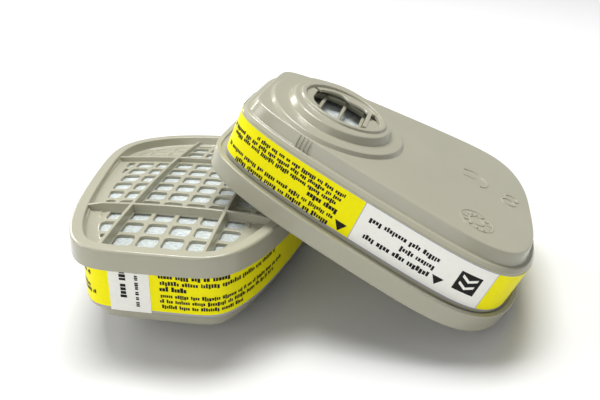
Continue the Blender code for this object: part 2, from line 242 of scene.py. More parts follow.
def capped(layers):
    """A closed solid: rings joined, with flat caps at both ends."""
    vertices, faces = strip(layers)
    count = len(layers[0])
    last = (len(layers) - 1) * count
    return vertices, faces + [tuple(range(count))[::-1], tuple(range(last, last + count))]


def together(parts):
    """Several (vertices, faces) parts as one."""
    vertices, faces, start = [], [], 0
    for points, polygons in parts:
        vertices.append(np.asarray(points, float).reshape(-1, 3))
        faces += [tuple(start + k for k in polygon) for polygon in polygons]
        start += len(vertices[-1])
    return np.vstack(vertices), faces


def plate(points, low, high):
    """A flat plate with its upper edge bevelled; points run counter-clockwise."""
    bevel = 0.18
    points = np.asarray(points, float)
    along = np.roll(points, -1, axis=0) - np.roll(points, 1, axis=0)
    along /= np.linalg.norm(along, axis=1)[:, None] + 1e-9
    inner = points - np.stack([along[:, 1], -along[:, 0]], axis=1) * bevel
    return capped([layer(points, low), layer(points, high - bevel), layer(inner, high)])


def make_mesh(name, parts, outward=True, smooth=35.0):
    """A mesh in metres; edges sharper than smooth, in degrees, stay sharp."""
    vertices, faces = together(parts)
    mesh = bpy.data.meshes.new(name)
    mesh.from_pydata((vertices * MM).tolist(), [], faces)
    if outward:
        bm = bmesh.new()
        bm.from_mesh(mesh)
        bmesh.ops.recalc_face_normals(bm, faces=bm.faces)
        bm.to_mesh(mesh)
        bm.free()
    mesh.shade_smooth()
    mesh.set_sharp_from_angle(angle=math.radians(smooth))
    return mesh


# ---------------------------------------------------------------- shell

def shell_layers():
    """Outer wall, shoulder, plateau, terraces, collar and bore, then back along the inside."""
    wall = [(5.0, SHELL_FOOT, 0), (WALL_INSET, SHELL_FOOT, 0.2), (WALL_INSET, SHOULDER_TOP - 1.0, 0.6)]
    wall += [(4.3, SHOULDER_TOP, 0.6), (PLATEAU_FOOT, SHOULDER_TOP, 0.35)]
    wall += [(PLATEAU_INSET, PLATEAU_TOP, 0.8), (PLATEAU_INSET + 1.15, PLATEAU_TOP, 0)]
    low = [(0.55, PLATEAU_TOP, 0), (0.45, PLATEAU_TOP, 0.1), (-0.35, LOW_TOP, 0.6), (-1.2, LOW_TOP, 0)]
    high = [(1.3, LOW_TOP, 0), (0.6, LOW_TOP, 0.5), (-0.5, HIGH_TOP, 0.9), (-1.6, HIGH_TOP, 0)]
    collar = [(15.2, HIGH_TOP, 0), (14.75, HIGH_TOP, 0.2), (14.5, COLLAR_TOP, 0.4), (13.1, COLLAR_TOP, 0.4)]
    collar += [(13.0, LEDGE_TOP, 0.15), (12.7, LEDGE_TOP, 0.15), (12.6, BORE_FOOT, 0)]
    layers = [layer(on_rays(outline(x, SHELL_SQUARER)), z) for x, z in rounded(wall)]
    layers += [layer(egg(LOW_TERRACE, x), z) for x, z in rounded(low)]
    layers += [layer(egg(HIGH_TERRACE, x), z) for x, z in rounded(high)]
    layers += [layer(circle(x), z) for x, z in rounded(collar)]
    layers += [layer(circle(POCKET_RADIUS), z) for z in (BORE_FOOT, POCKET_LOW)]
    inner = [(8.0, POCKET_LOW), (7.7, BED_ROOM_TOP), (5.2, BED_ROOM_TOP)]
    return layers + [layer(on_rays(outline(x, SHELL_SQUARER)), z) for x, z in inner]


def arc(radius, start, end, count=24):
    """Points of an arc about the collar's axis, in degrees."""
    angle = np.radians(np.linspace(start, end, count))
    return [(COLLAR_X + radius * math.cos(a), radius * math.sin(a)) for a in angle]


def socket_lugs():
    """The lugs that hold the face piece's port, with a bar and a step beside the right one."""
    bore = LUG_RADIUS
    left = arc(bore, 157, 232) + [(COLLAR_X - 6.6, -8.4), (COLLAR_X - 9.2, -5.4), (COLLAR_X - 10.1, -2.3)]
    left += [(COLLAR_X - 10.1, 4.3)]
    far = arc(bore, 36, 150) + arc(11.0, 149, 107, 16)
    hook = ((103, 10.6), (98, 9.8), (92, 9.0), (86, 8.5), (79, 8.4), (72, 8.6), (66, 9.0), (59, 9.4))
    for angle, reach in hook:
        far += arc(reach, angle, angle, 1)
    far += arc(9.8, 52, 40, 6)
    right = arc(bore, -42, 3, 16) + [(COLLAR_X + 9.0, 0.6), (COLLAR_X + 8.9, -7.6)]
    bar = [(COLLAR_X + 7.7, -6.6), (COLLAR_X + 9.0, -6.9), (COLLAR_X + 9.0, 6.8), (COLLAR_X + 7.7, 6.3)]
    step = [(COLLAR_X + 8.9, 0.5)] + arc(bore, 3, 26, 8) + [(COLLAR_X + 8.9, 5.6)]
    near = arc(bore, 276, 322) + arc(11.4, 318, 282, 8)
    parts = [plate(left, 27.3, LEDGE_TOP), plate(far, 28.5, LEDGE_TOP), plate(right, 27.4, LEDGE_TOP)]
    parts += [plate(bar, 27.0, LEDGE_TOP + 0.1), plate(step, 27.0, 28.1), plate(near, 27.6, LEDGE_TOP - 0.05)]
    return parts


def wall_point(line, x):
    """Point of a closed line on the -y side at x, with the outward direction there."""
    side = line[line[:, 1] < 0.0]
    side = side[np.argsort(side[:, 0])]
    y = float(np.interp(x, side[:, 0], side[:, 1]))
    slope = (float(np.interp(x + 0.5, side[:, 0], side[:, 1])) - y) / 0.5
    out = np.array([slope, -1.0]) / math.hypot(slope, 1.0)
    return np.array([x, y]), out


def grip_ribs():
    """Four thin upright ribs on the plateau's wall near the collar."""
    parts = []
    foot, top = outline(PLATEAU_FOOT + 0.05, SHELL_SQUARER), outline(PLATEAU_INSET - 0.1, SHELL_SQUARER)
    for k in range(4):
        x = -28.9 + 1.25 * k
        sections = []
        for share in np.linspace(0.0, 1.0, 7):
            low, out = wall_point(foot, x)
            high, _ = wall_point(top, x)
            spot = low + (high - low) * share
            across = np.array([-out[1], out[0]])
            height = SHOULDER_TOP + 0.1 + (PLATEAU_TOP - SHOULDER_TOP - 0.3) * share
            proud = 0.55 * math.sin(math.pi * min(1.0, 0.12 + share)) ** 0.35
            ring = []
            for side, rise in ((-0.26, -0.3), (-0.2, 0.45), (0.0, 1.0), (0.2, 0.45), (0.26, -0.3)):
                place = spot + across * side + out * proud * rise
                ring.append((place[0], place[1], height))
            sections.append(np.array(ring))
        parts.append(capped(sections))
    return parts


def ridge(points, half, height, closed=False):
    """A low raised line on the plateau along 2-D points."""
    points = np.asarray(points, float)
    along = np.gradient(points, axis=0)
    if closed:
        along = np.roll(points, -1, axis=0) - np.roll(points, 1, axis=0)
    along /= np.linalg.norm(along, axis=1)[:, None] + 1e-9
    across = np.stack([along[:, 1], -along[:, 0]], axis=1)
    rings = []
    for side, rise in ((half, -0.05), (half * 0.45, height), (-half * 0.45, height), (-half, -0.05)):
        rings.append(layer(points + across * side, PLATEAU_TOP + rise))
    vertices = np.vstack(rings)
    count = len(points)
    faces = []
    for row in range(3):
        for k in range(count if closed else count - 1):
            n = (k + 1) % count
            faces.append((row * count + k, row * count + n, (row + 1) * count + n, (row + 1) * count + k))
    return vertices, faces


def ring_line(x, y, radius, start=0.0, end=360.0, squash=1.0):
    """Points of a circle or an arc on the plateau, made narrower in y by squash."""
    angle = np.radians(np.linspace(start, end, 48, endpoint=end - start < 359.0))
    return np.stack([x + radius * np.cos(angle), y + radius * squash * np.sin(angle)], axis=1)


def moulded_marks():
    """Plain raised marks on the plateau: an arc, two linked loops and a dial with ticks."""
    parts = [ridge(ring_line(26.0, 5.0, 5.0, -60.0, 130.0), 0.36, 0.26)]
    parts.append(ridge([(22.5, 4.2), (24.5, 4.6), (26.5, 4.9)], 0.3, 0.2))
    for shift in (-1.9, 1.9):
        loop = ring_line(39.0 + 0.35 * shift, 1.5 + shift, 2.3, squash=0.85)
        parts.append(ridge(loop, 0.32, 0.28, closed=True))
    dial_x, dial_y = 26.8, -25.0
    parts.append(ridge(ring_line(dial_x, dial_y, 5.2), 0.26, 0.2, closed=True))
    parts.append(ridge(ring_line(dial_x, dial_y, 2.3), 0.28, 0.22, closed=True))
    for k in range(12):
        angle = TAU * k / 12.0
        inner = (dial_x + 3.1 * math.cos(angle), dial_y + 3.1 * math.sin(angle))
        outer = (dial_x + 4.5 * math.cos(angle), dial_y + 4.5 * math.sin(angle))
        middle = ((inner[0] + outer[0]) / 2.0, (inner[1] + outer[1]) / 2.0)
        parts.append(ridge([inner, middle, outer], 0.32, 0.24))
    return parts


def shell_mesh():
    parts = [strip(shell_layers(), closed=True)] + socket_lugs() + grip_ribs() + moulded_marks()
    return make_mesh("shell", parts)


# ---------------------------------------------------------------- grille cover

def cover_frame():
    """Skirt, rim, recess wall and the spigot inside the shell."""
    skin = [(1.4, SKIRT_HEIGHT - 0.3, 0), (1.3, SKIRT_HEIGHT, 0.25), (-0.15, SKIRT_HEIGHT, 0.4)]
    skin += [(0.05, 0.0, 1.0), (RIM_WIDTH, 0.0, 0.5), (RIM_WIDTH + 0.3, 1.3, 0)]
    layers = [layer(on_rays(outline(x)), z) for x, z in rounded(skin)]
    fillet = ((-0.25, -0.75), (-0.17, -0.48), (-0.03, -0.25), (0.18, -0.1), (0.45, -0.02), (0.7, 0.03))
    for inset, sink in [(RECESS_FOOT + x, z) for x, z in fillet] + [(6.3, 0.8)]:
        ring = on_rays(outline(inset))
        layers.append(layer(ring, dome(ring) + sink))
    back = [(6.3, 9.0, 0), (5.3, 9.0, 0.1), (5.3, LEDGE_HEIGHT, 0.1), (3.2, LEDGE_HEIGHT, 0.2)]
    back += [(3.0, GROOVE_FLOOR, 0.3), (1.5, GROOVE_FLOOR, 0.3), (1.4, SKIRT_HEIGHT - 0.6, 0)]
    return strip(layers + [layer(on_rays(outline(x)), z) for x, z in rounded(back, 3)], closed=True)


class Limit:
    """How far a point lies outside the outline moved inward by inset, measured from the middle."""

    def __init__(self, inset):
        points = outline(inset)
        self.direction = np.arctan2(points[:, 1], points[:, 0])
        self.reach = np.hypot(points[:, 0], points[:, 1])
        order = np.argsort(self.direction)
        self.direction, self.reach = self.direction[order], self.reach[order]

    def outside(self, points):
        angle = np.arctan2(points[..., 1], points[..., 0])
        reach = np.interp(angle, self.direction, self.reach, period=TAU)
        return np.hypot(points[..., 0], points[..., 1]) - reach


def reach_along(inside, start, directions):
    """For each direction, the point up to which the measure stays below zero, found by halving."""
    low, high = np.zeros(len(directions)), np.full(len(directions), 9.0)
    for _ in range(26):
        middle = (low + high) / 2.0
        within = inside(start + directions * middle[:, None]) < 0.0
        low, high = np.where(within, middle, low), np.where(within, high, middle)
    return start + directions * low[:, None]


def cell_parts(centre, edge, margin):
    """One cell of the floor, with its hole, a shallow print of one, or nothing, inside the recess."""
    half = np.array(HOLE_PITCH) / 2.0

    def cell(points):
        box = np.abs(points - centre) - half
        return np.maximum(box.max(axis=-1), edge.outside(points))

    def hole(points, grow=0.0):
        q = np.abs(points - centre) - (np.array(HOLE_HALF) - HOLE_CORNER)
        box = np.linalg.norm(np.maximum(q, 0.0), axis=-1) + np.minimum(q.max(axis=-1), 0.0) - HOLE_CORNER
        line = margin.outside(points)
        blend = np.maximum(HOLE_BLEND - np.abs(box - line), 0.0)
        return np.maximum(box, line) + blend * blend / (4.0 * HOLE_BLEND) - grow

    axis = np.linspace(-1.0, 1.0, CELL_STEPS + 1)
    spots = np.array([(centre[0] + a * half[0], centre[1] + b * half[1]) for a in axis for b in axis])
    in_cell = spots[cell(spots) < 0.0]
    if len(in_cell) < 4:
        return []
    in_hole = spots[hole(spots) < 0.0]
    area = len(in_hole) * (HOLE_PITCH[0] / CELL_STEPS) * (HOLE_PITCH[1] / CELL_STEPS)
    start = in_hole.mean(axis=0) if area > SMALLEST_PRINT else in_cell.mean(axis=0)
    corners = np.array([(centre[0] + a * half[0], centre[1] + b * half[1]) for a in (-1, 1) for b in (-1, 1)])
    angles = np.linspace(-math.pi, math.pi, 52, endpoint=False)
    to_corner = np.arctan2(corners[:, 1] - start[1], corners[:, 0] - start[0])
    angles = np.unique(np.concatenate([angles, to_corner]))
    directions = np.stack([np.cos(angles), np.sin(angles)], axis=1)
    border = reach_along(cell, start, directions)
    layers = [layer(border, dome(border))]
    if area <= SMALLEST_PRINT:
        middle = layer(start[None], dome(start[None]))
        vertices = np.vstack([layers[0], middle])
        count = len(border)
        return [(vertices, [((k + 1) % count, k, count) for k in range(count)])]
    far_side = centre[0] > FAR_BAND_X and abs(centre[1]) > FAR_BAND_HALF_WIDTH
    through = area > SMALLEST_HOLE and not far_side
    steps = [(0.62, 0.0), (0.5, 0.0), (0.36, -0.05), (0.16, -0.05), (0.02, 0.03), (0.0, 0.14)]
    steps += [(-0.04, FLOOR_THICKNESS)] if through else [(-0.12, PRINT_DEPTH)]
    for grow, sink in steps:
        ring = reach_along(lambda points: np.maximum(hole(points, grow), cell(points)), start, directions)
        layers.append(layer(ring, dome(ring) + sink))
    vertices, faces = strip(layers, flip=True)
    if not through:
        count = len(border)
        last = len(layers) * count
        vertices = np.vstack([vertices, layer(start[None], dome(start[None]) + PRINT_DEPTH)])
        faces = faces + [(last - count + (k + 1) % count, last - count + k, last) for k in range(count)]
    return [(vertices, faces)]


def cover_floor():
    """The pierced floor inside the recess, cell by cell."""
    edge, margin = Limit(RECESS_FOOT - 0.4), Limit(HOLE_MARGIN)
    parts = []
    for i in range(ROWS):
        for j in range(-HALF_COLUMNS, HALF_COLUMNS):
            centre = np.array([FIRST_ROW_X + HOLE_PITCH[0] * i, HOLE_PITCH[1] * (j + 0.5)])
            parts += cell_parts(centre, edge, margin)
    return parts


def rib(start, end):
    """A rib on the floor with a rounded crest that comes down to the rim at both ends."""
    start, end = np.array(start), np.array(end)
    length = float(np.linalg.norm(end - start))
    across = np.array([-(end - start)[1], (end - start)[0]]) / length
    sections = []
    for share in np.linspace(0.0, 1.0, 72):
        middle = start + (end - start) * share
        floor = float(dome(middle))
        from_end = length * min(share, 1.0 - share)
        crest = max(crest_height(middle), 0.12 - 0.2 * from_end)
        ring = []
        half = [(1.0, floor + 0.5), (0.95, floor), (0.72, floor - 0.2)]
        half += [(0.6, crest + 0.45), (0.5, crest + 0.12), (0.28, crest)]
        for side, height in [(-side, height) for side, height in half] + half[::-1]:
            place = middle + across * side
            ring.append((place[0], place[1], height))
        sections.append(np.array(ring))
    return capped(sections)


def cover_ribs():
    line = outline(RIM_WIDTH - 0.1)
    parts = []
    for x in CROSS_RIB_X:
        reach = line[np.abs(line[:, 0] - x) < 0.3][:, 1].max()
        parts.append(rib((x, -reach), (x, reach)))
    for y in (-LONG_RIB_Y, LONG_RIB_Y):
        near = line[np.abs(line[:, 1] - y) < 0.3][:, 0]
        parts.append(rib((near.min(), y), (near.max(), y)))
    return parts


def cover_mesh():
    frame_part = make_mesh("cover_frame", [cover_frame()] + cover_ribs())
    floor_part = make_mesh("cover_floor", cover_floor(), outward=False, smooth=50.0)
    return frame_part, floor_part


# ---------------------------------------------------------------- label and print

def wall_line():
    """The label's line as a dense closed curve, and the outward direction at each point."""
    points = outline(LABEL_INSET, SHELL_SQUARER)
    along = np.roll(points, -1, axis=0) - np.roll(points, 1, axis=0)
    along /= np.linalg.norm(along, axis=1)[:, None]
    return even_spacing(points), np.stack([along[:, 1], -along[:, 0]], axis=1)


WALL_POINTS, WALL_OUT = wall_line()


def on_wall(distance, proud=0.0):
    """2-D point at a distance along the label, standing proud of it."""
    place = (np.asarray(distance, float) / LABEL_LENGTH % 1.0) * DENSE
    index = np.arange(DENSE + 1)
    points = np.vstack([WALL_POINTS, WALL_POINTS[:1]])
    outward = np.vstack([WALL_OUT, WALL_OUT[:1]])
    spot = np.stack([np.interp(place, index, points[:, k]) for k in (0, 1)], axis=-1)
    out = np.stack([np.interp(place, index, outward[:, k]) for k in (0, 1)], axis=-1)
    return spot + out * proud


def band(start, end, low, high, proud, thickness=0.0):
    """A thin strip on the wall from start to end; with a thickness it is closed."""
    count = max(2, int(abs(end - start) / LABEL_STEP) + 1)
    run = np.linspace(start, end, count)
    outer = on_wall(run, proud)
    vertices = [layer(outer, low), layer(outer, high)]
    faces = [(k, k + 1, count + k + 1, count + k) for k in range(count - 1)]
    if thickness:
        inner = on_wall(run, proud - thickness)
        vertices += [layer(inner, high), layer(inner, low)]
        for row in (1, 2, 3):
            a, b = row * count, (row + 1) % 4 * count
            faces += [(a + k, a + k + 1, b + k + 1, b + k) for k in range(count - 1)]
        faces += [(0, count, 2 * count, 3 * count), tuple(r * count + count - 1 for r in (3, 2, 1, 0))]
    return np.vstack(vertices), faces


def patch(corners, proud):
    """A small flat mark on the wall; corners are (distance, height) in order."""
    points = [(*on_wall(s, proud), z) for s, z in corners]
    return np.array(points), [tuple(range(len(points)))]


def word_line(start, end, height, size, weight, rng, proud):
    """A line of plain word-shaped bars that reads towards smaller distances."""
    parts = []
    s = start
    while s > end + 1.0:
        letters = rng.choice((2, 3, 3, 4, 5, 5, 6, 7, 8))
        for _ in range(letters):
            width = size * rng.uniform(0.42, 0.62)
            if s - width < end:
                break
            up = height - size * rng.choice((0.4, 0.4, 0.44, 0.6, 0.72))
            down = height + size * rng.choice((0.24, 0.26, 0.26, 0.26, 0.46))
            thin = size * 0.2 / weight
            left, right = s - width + thin * 0.5, s - thin * 0.2
            parts.append(patch([(left, up), (right, up), (right, down), (left, down)], proud))
            s -= width
        s -= size * 0.48
    return parts


def label_print():
    """Word-shaped bars, plain triangles and a plain square mark: all in dark ink."""
    rng = random.Random(11)
    proud = 0.05
    parts = []
    # each line's height, start and end along the wall, size of its letters, and boldness
    first = ((8.3, 207.0, 172.0, 1.5, 1.0), (10.5, 207.6, 166.5, 1.35, 1.0), (12.9, 208.0, 197.0, 1.75, 1.7))
    first += ((14.9, 206.6, 166.5, 1.3, 1.2), (16.6, 207.6, 165.0, 1.3, 1.2), (18.3, 208.2, 176.0, 1.3, 1.2))
    second = ((8.9, 146.4, 125.0, 1.6, 1.5), (11.0, 146.0, 102.0, 1.45, 1.0), (13.0, 146.2, 136.8, 1.6, 1.6))
    second += ((15.1, 146.0, 98.0, 1.25, 1.2), (16.9, 146.3, 103.0, 1.25, 1.2))
    second += ((18.7, 145.8, 120.0, 1.25, 1.2),)
    panel = ((10.9, 238.3, 217.2, 1.8, 1.2), (13.7, 238.6, 226.4, 1.6, 1.1), (16.5, 238.8, 216.2, 1.65, 1.1))
    for height, start, end, size, weight in first + second + panel:
        parts += word_line(start, end, height, size, weight, rng, proud)
    for s, low, size in ((208.5, 7.7, 3.9), (239.0, 9.2, 3.5)):
        foot = low + 0.75 * size
        parts.append(patch([(s + size, foot), (s + size / 2.0, low), (s, foot)], proud))
    parts.append(band(245.2, 251.5, 10.9, 17.2, proud))
    return parts


def square_mark():
    """Two plain white chevrons inside the square."""
    s, z, proud = 248.35, 14.05, 0.09
    parts = []
    for low in (-2.2, 0.2):
        for side in (-1.0, 1.0):
            arm = [(s, z + low), (s + side * 2.2, z + low + 1.3), (s + side * 2.2, z + low + 2.2)]
            arm.append((s, z + low + 0.9))
            parts.append(patch(arm if side > 0 else arm[::-1], proud))
    return parts


def label_pieces():
    """Paper and print on the wall: each entry is a name, its parts and its material."""
    whole = band(0.0, LABEL_LENGTH, LABEL_LOW, LABEL_HIGH, 0.0, 0.09)
    white = band(214.1, 254.6, LABEL_LOW + 0.22, LABEL_HIGH - 0.22, 0.02, 0.02)
    edges = [band(0.0, LABEL_LENGTH, LABEL_LOW + 0.02, LABEL_LOW + 0.3, 0.03)]
    edges.append(band(0.0, LABEL_LENGTH, LABEL_HIGH - 0.3, LABEL_HIGH - 0.02, 0.03))
    edges.append(band(214.0, 214.2, LABEL_LOW, LABEL_HIGH, 0.03))
    edges.append(band(254.5, 254.7, LABEL_LOW, LABEL_HIGH, 0.03))
    return [
        ("label_band", [whole], "yellow"),
        ("label_panel", [white], "panel"),
        ("label_edges", edges, "edge"),
        ("label_print", label_print(), "ink"),
        ("label_mark", square_mark(), "panel"),
    ]


def sticker_parts():
    return [band(149.0, 161.0, LABEL_LOW + 0.1, LABEL_HIGH + 0.5, 0.14, 0.1)]


def sticker_print():
    """Bars that read along the sticker's height."""
    rng = random.Random(5)
    parts = []
    for s, start, end, size in ((156.8, 16.8, 10.6, 1.9), (152.8, 19.4, 8.0, 1.05)):
        z = start
        while z > end + 0.5:
            for _ in range(rng.choice((2, 3, 4)) if size < 1.5 else 4):
                width = size * rng.uniform(0.5, 0.66)
                half = size * rng.choice((0.42, 0.5))
                low, high = z - width, z - size * 0.12
                corners = [(s - half, low), (s + half, low), (s + half, high), (s - half, high)]
                parts.append(patch(corners, 0.17))
                z -= width
            z -= size * 0.5
    return parts


# ---------------------------------------------------------------- contents

def inlet_felt_parts():
    """A fibre pad right behind the floor, softly uneven and pressed a little through the holes."""
    edge = on_rays(outline(5.7))[::3]
    centre = np.array([COLLAR_X, 0.0])
    rings = [centre + (edge - centre) * share for share in np.linspace(0.02, 1.0, 64)]
    top, bottom = [], []
    for ring in rings:
        wide = [0.10 * noise.noise((x * 0.35, y * 0.35, 0.0)) for x, y in ring]
        fine = [0.05 * noise.noise((x, y, 3.0)) for x, y in ring]
        uneven = np.array(wide) + np.array(fine)
        row = np.cos((ring[:, 0] - FIRST_ROW_X) / HOLE_PITCH[0] * TAU)
        column = np.cos((ring[:, 1] / HOLE_PITCH[1] - 0.5) * TAU)
        bulge = 0.1 * np.clip(row, 0, 1) * np.clip(column, 0, 1)
        top.append(layer(ring, dome(ring) + FELT_BEHIND_FLOOR + 0.15 - bulge + uneven))
        bottom.append(layer(ring, dome(ring) + FELT_BEHIND_FLOOR + FELT_THICKNESS))
    return [capped(bottom + top[::-1])]


def outlet_felt_parts():
    """A pad over the bed, with a round crowned step under the socket."""
    layers = [layer(on_rays(outline(8.4, SHELL_SQUARER)), z) for z in (20.6, 22.2)]
    layers.append(layer(circle(14.9), 22.2))
    for share in (1.0, 0.97, 0.9, 0.8, 0.65, 0.5, 0.35, 0.2, 0.08):
        ring = circle(14.6 * share)
        uneven = [0.12 * noise.noise((x * 0.5, y * 0.5, 8.0)) for x, y in ring]
        layers.append(layer(ring, OUTLET_FELT_TOP - 0.5 * share ** 6 + np.array(uneven)))
    return [capped(layers)]


def support_grid_parts():
    """A flat ring with three round-edged bars, under the socket."""
    foot = GRID_TOP - GRID_THICKNESS
    path = [(14.7, foot, 0), (14.7, GRID_TOP, 0.2), (13.6, GRID_TOP, 0.3), (13.6, foot, 0)]
    parts = [strip([layer(circle(x), z) for x, z in rounded(path)], closed=True)]
    shape = ((-0.6, -GRID_THICKNESS), (-0.58, -0.2), (-0.35, 0.0))
    shape += ((0.35, 0.0), (0.58, -0.2), (0.6, -GRID_THICKNESS))
    for k in (-1, 0, 1):
        x = COLLAR_X + k * BAR_PITCH
        reach = math.sqrt(14.2 ** 2 - (k * BAR_PITCH) ** 2)
        sections = []
        for y in np.linspace(-reach, reach, 14):
            sections.append(np.array([(x + side, y, GRID_TOP + rise) for side, rise in shape]))
        parts.append(capped(sections))
    return parts


# ---------------------------------------------------------------- materials

def shader_tree(name):
    """A new material with its node tree, its shader and the object's coordinates."""
    material = bpy.data.materials.new(name)
    material.use_nodes = True
    tree = material.node_tree
    coordinates = tree.nodes.new("ShaderNodeTexCoord")
    return material, tree, tree.nodes["Principled BSDF"], coordinates.outputs["Object"]


def noise_node(tree, vector, scale, detail, roughness=0.5):
    """Noise whose scale is in features per metre."""
    node = tree.nodes.new("ShaderNodeTexNoise")
    node.inputs["Scale"].default_value = scale
    node.inputs["Detail"].default_value = detail
    node.inputs["Roughness"].default_value = roughness
    tree.links.new(vector, node.inputs["Vector"])
    return node.outputs["Fac"]


def ramp(tree, value, stops):
    """A colour that follows a value through (place, colour) stops."""
    node = tree.nodes.new("ShaderNodeValToRGB")
    while len(node.color_ramp.elements) < len(stops):
        node.color_ramp.elements.new(0.5)
    for element, (place, colour) in zip(node.color_ramp.elements, stops):
        element.position = place
        element.color = (*colour, 1.0)
    tree.links.new(value, node.inputs["Fac"])
    return node.outputs["Color"]


def span(tree, value, low, high):
    """A number between low and high that follows a value between 0.3 and 0.7."""
    node = tree.nodes.new("ShaderNodeMapRange")
    node.inputs["From Min"].default_value = 0.3
    node.inputs["From Max"].default_value = 0.7
    node.inputs["To Min"].default_value = low
    node.inputs["To Max"].default_value = high
    tree.links.new(value, node.inputs["Value"])
    return node.outputs["Result"]


def bump(tree, heights):
    """Bumps added one on another; each entry is a height value, its distance in metres and strength."""
    normal = None
    for value, distance, strength in heights:
        node = tree.nodes.new("ShaderNodeBump")
        node.inputs["Distance"].default_value = distance
        node.inputs["Strength"].default_value = strength
        tree.links.new(value, node.inputs["Height"])
        if normal is not None:
            tree.links.new(normal, node.inputs["Normal"])
        normal = node.outputs["Normal"]
    return normal


def scaled(colour, factor):
    return tuple(channel * factor for channel in colour)


def plastic_material():
    """Warm grey moulded plastic: faint flow marks, fine grain and slightly uneven gloss."""
    material, tree, shader, place = shader_tree("body_plastic")
    colour = (0.385, 0.374, 0.288)
    broad = noise_node(tree, place, 28.0, 3.0)
    tone = ramp(tree, broad, [(0.3, scaled(colour, 0.965)), (0.7, scaled(colour, 1.035))])
    tree.links.new(tone, shader.inputs["Base Color"])
    patches = noise_node(tree, place, 240.0, 5.0, 0.6)
    tree.links.new(span(tree, patches, 0.18, 0.22), shader.inputs["Roughness"])
    grain = noise_node(tree, place, 5200.0, 2.0)
    waves = noise_node(tree, place, 70.0, 1.0)
    normal = bump(tree, [(waves, 0.0001, 0.2), (grain, 0.000006, 0.15)])
    tree.links.new(normal, shader.inputs["Normal"])
    shader.inputs["Subsurface Weight"].default_value = 0.06
    shader.inputs["Subsurface Radius"].default_value = (1.0, 0.8, 0.5)
    shader.inputs["Subsurface Scale"].default_value = 0.0012
    return material


def paper_material(name, colour):
    """Coated paper: a faint fibre tone and a nearly smooth, softly shining face."""
    material, tree, shader, place = shader_tree(name)
    tone_value = noise_node(tree, place, 900.0, 4.0, 0.6)
    tone = ramp(tree, tone_value, [(0.3, scaled(colour, 0.96)), (0.7, scaled(colour, 1.0))])
    tree.links.new(tone, shader.inputs["Base Color"])
    tree.links.new(span(tree, tone_value, 0.37, 0.48), shader.inputs["Roughness"])
    fibres = noise_node(tree, place, 2600.0, 3.0)
    tree.links.new(bump(tree, [(fibres, 0.00001, 0.15)]), shader.inputs["Normal"])
    shader.inputs["Specular IOR Level"].default_value = 0.1
    return material


def ink_material():
    """Black print: nearly flat, a little uneven where it is thin."""
    material, tree, shader, place = shader_tree("ink")
    thin = noise_node(tree, place, 3000.0, 3.0, 0.7)
    tone = ramp(tree, thin, [(0.3, (0.004, 0.004, 0.005)), (0.7, (0.016, 0.015, 0.014))])
    tree.links.new(tone, shader.inputs["Base Color"])
    tree.links.new(span(tree, thin, 0.4, 0.55), shader.inputs["Roughness"])
    shader.inputs["Specular IOR Level"].default_value = 0.15
    return material


def felt_material():
    """White fibre pad: tangled fibres as fine stretched noise, with painted shade darkening the small gaps
    between fibres.
    """
    material, tree, shader, place = shader_tree("filter_felt")
    fields = []
    for turn, stretch in (((0.0, 0.0, 0.4), (1.0, 7.0, 1.0)), ((0.0, 0.0, 2.0), (1.0, 6.0, 1.0))):
        mapping = tree.nodes.new("ShaderNodeMapping")
        mapping.inputs["Rotation"].default_value = turn
        mapping.inputs["Scale"].default_value = stretch
        tree.links.new(place, mapping.inputs["Vector"])
        fields.append(noise_node(tree, mapping.outputs["Vector"], 900.0, 5.0, 0.65))
    mix = tree.nodes.new("ShaderNodeMath")
    mix.operation = "MAXIMUM"
    tree.links.new(fields[0], mix.inputs[0])
    tree.links.new(fields[1], mix.inputs[1])
    fibres = mix.outputs["Value"]
    # The pale stops are the pad's own white fibres; the dark stop, where the fibre noise is low, is painted
    # shade in the gaps between fibres.
    stops = [(0.40, (0.22, 0.25, 0.24)), (0.52, (0.50, 0.55, 0.54)), (0.64, (0.74, 0.79, 0.79))]
    tree.links.new(ramp(tree, fibres, stops), shader.inputs["Base Color"])
    tree.links.new(bump(tree, [(fibres, 0.0004, 0.7)]), shader.inputs["Normal"])
    shader.inputs["Roughness"].default_value = 0.95
    shader.inputs["Sheen Weight"].default_value = 0.25
    shader.inputs["Sheen Roughness"].default_value = 0.6
    return material


def carbon_material():
    """Packed black granules, each painted lighter in its middle and darker towards its edge as shade between
    the granules.
    """
    material, tree, shader, place = shader_tree("activated_carbon")
    cells = tree.nodes.new("ShaderNodeTexVoronoi")
    cells.inputs["Scale"].default_value = 900.0
    tree.links.new(place, cells.inputs["Vector"])
    distance = cells.outputs["Distance"]
    # Painted shade: each granule is lighter at its middle and darker towards its edge, where the granules
    # meet.
    stops = [(0.1, (0.05, 0.05, 0.05)), (0.6, (0.006, 0.006, 0.006))]
    tree.links.new(ramp(tree, distance, stops), shader.inputs["Base Color"])
    tree.links.new(bump(tree, [(distance, -0.0005, 0.8)]), shader.inputs["Normal"])
    shader.inputs["Roughness"].default_value = 0.8
    return material


# ---------------------------------------------------------------- building

def cartridge_matrix(name):
    """Where a cartridge's own frame lies, from its pose and the record's rim mount."""
    heading, tilt, roll = (math.radians(angle) for angle in POSES[name])
    turn = Matrix.Rotation(heading, 4, "Z") @ Matrix.Rotation(tilt, 4, "Y") @ Matrix.Rotation(roll, 4, "X")
    mounts = {mount["name"]: mount["pos_m"] for mount in frame["record"]["mounts"]}
    corner = turn @ (Vector(RIM_MOUNT) * MM)
    return Matrix.Translation(Vector(mounts[name + "_rim_face"]) - corner) @ turn


def place_piece(cartridge, name, mesh, material, matrix, node=None, weighted=False):
    """One visible piece of a cartridge that moves with its body."""
    shape = mesh.copy()
    shape.transform(matrix)
    shape.materials.append(material)
    piece = bpy.data.objects.new(cartridge + "_" + name + "_looks", shape)
    bpy.context.scene.collection.objects.link(piece)
    if weighted:
        modifier = piece.modifiers.new("weighted_normals", "WEIGHTED_NORMAL")
        modifier.keep_sharp = True
        modifier.weight = 90
    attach(piece, cartridge + "_cartridge")
    if node:
        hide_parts(cartridge + "_" + node)
    return piece


